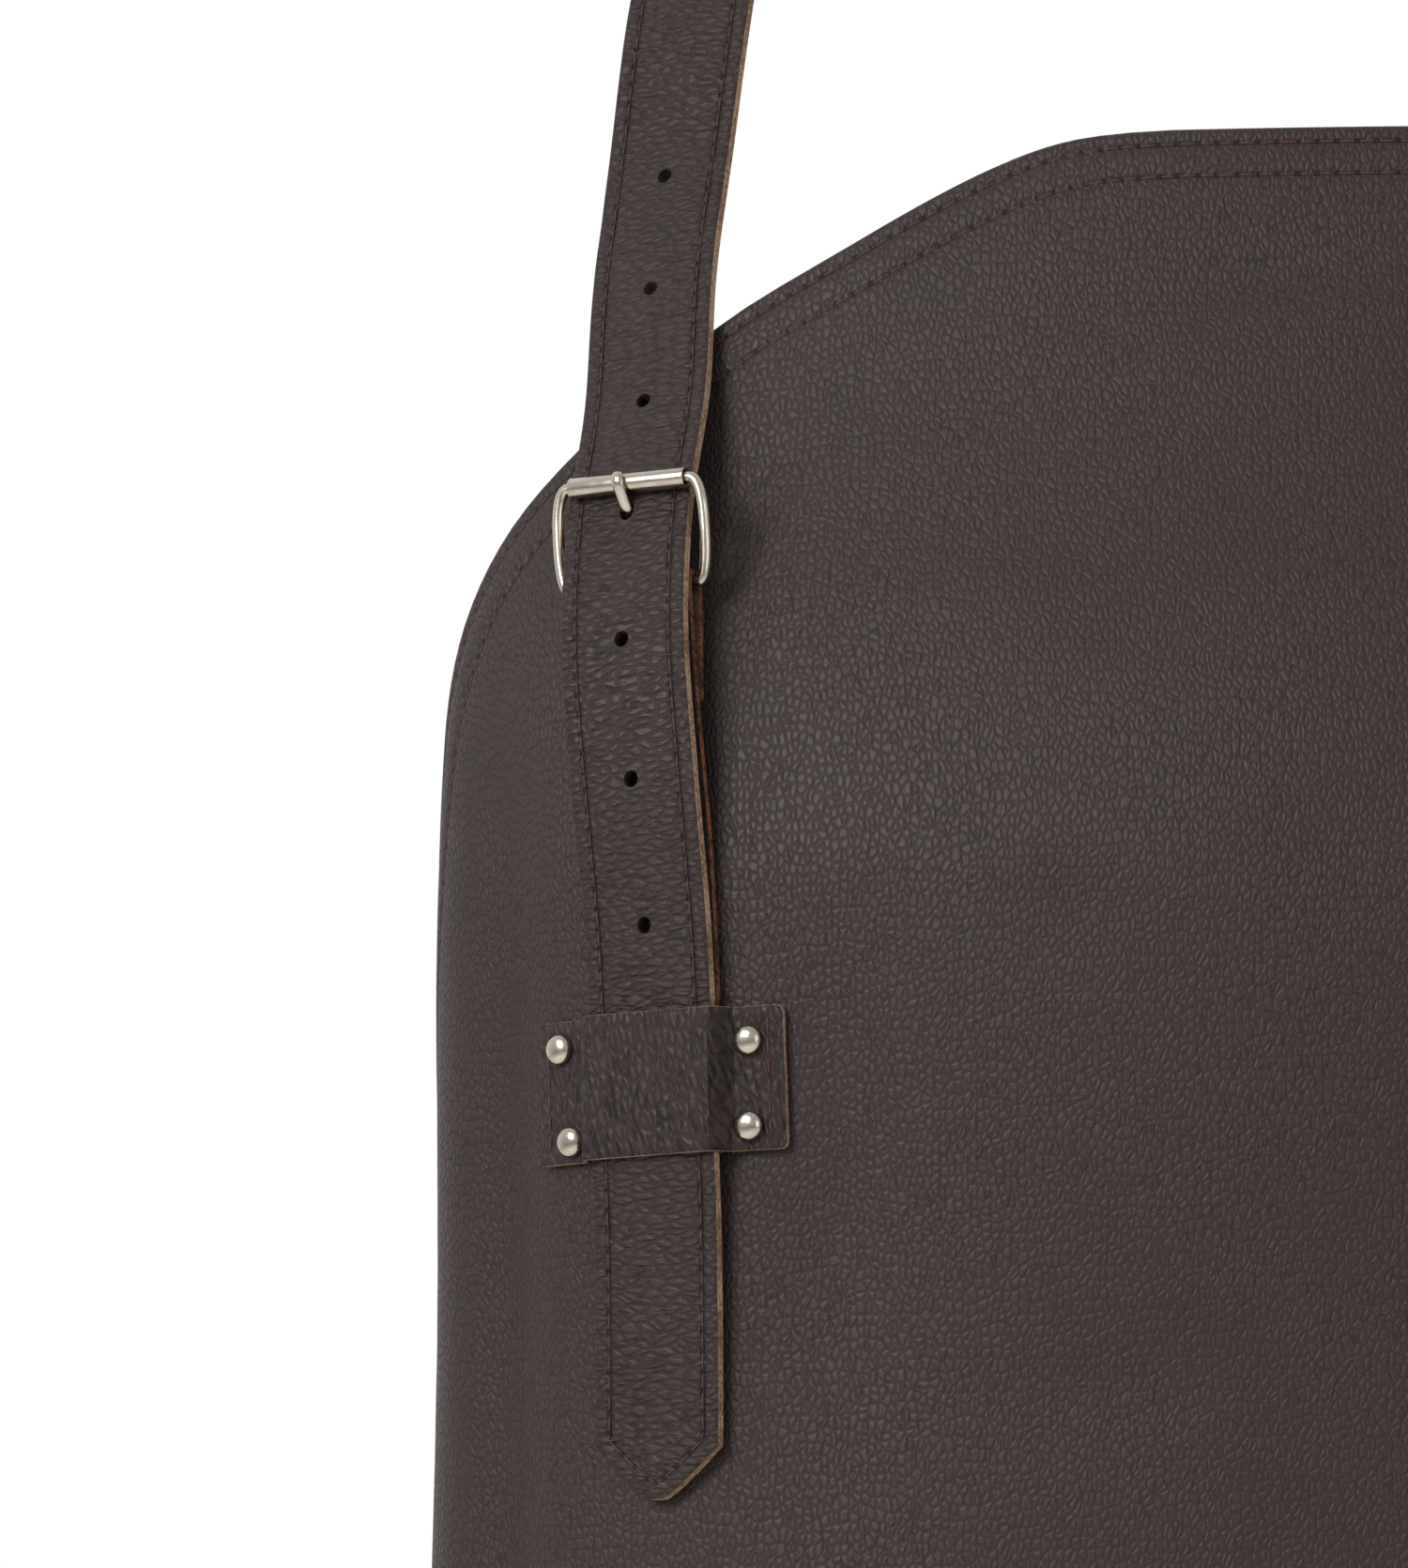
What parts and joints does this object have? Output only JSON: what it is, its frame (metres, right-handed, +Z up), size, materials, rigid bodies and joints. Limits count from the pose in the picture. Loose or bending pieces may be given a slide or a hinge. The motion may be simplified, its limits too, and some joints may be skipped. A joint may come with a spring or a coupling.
{
  "type": "leather bib apron",
  "caption": "Leather work apron with a bib, buckled shoulder straps that cross on the back, and riveted keeper patches, in its worn form.",
  "frame": {"origin": "midway between the two straps, at the height and depth where they rest on the shoulders", "axes": "+Z up, front of the apron towards -Y, +X towards the wearer's left"},
  "size_m": [0.4814, 0.2536, 0.9437],
  "materials": {
    "apron_leather": "pebbled full-grain cowhide, dark brown, waxed",
    "strap_leather": "creased full-grain cowhide, dark brown, raw light brown cut edges",
    "nickel": "nickel plated, polished"
  },
  "bodies": {
    "root": {"apron_panel": "apron_leather", "shoulder_strap_right": "strap_leather", "buckle_strap_right": "strap_leather", "keeper_patch_right": "strap_leather", "buckle_frame_right": "nickel", "buckle_roller_right": "nickel", "buckle_tongue_right": "nickel", "keeper_rivet_right_1": "nickel", "keeper_rivet_right_2": "nickel", "keeper_rivet_right_3": "nickel", "keeper_rivet_right_4": "nickel", "back_rivet_right_1": "nickel", "back_rivet_right_2": "nickel", "shoulder_strap_left": "strap_leather", "buckle_strap_left": "strap_leather", "keeper_patch_left": "strap_leather", "buckle_frame_left": "nickel", "buckle_roller_left": "nickel", "buckle_tongue_left": "nickel", "keeper_rivet_left_1": "nickel", "keeper_rivet_left_2": "nickel", "keeper_rivet_left_3": "nickel", "keeper_rivet_left_4": "nickel", "back_rivet_left_1": "nickel", "back_rivet_left_2": "nickel"}
  },
  "joints": []
}
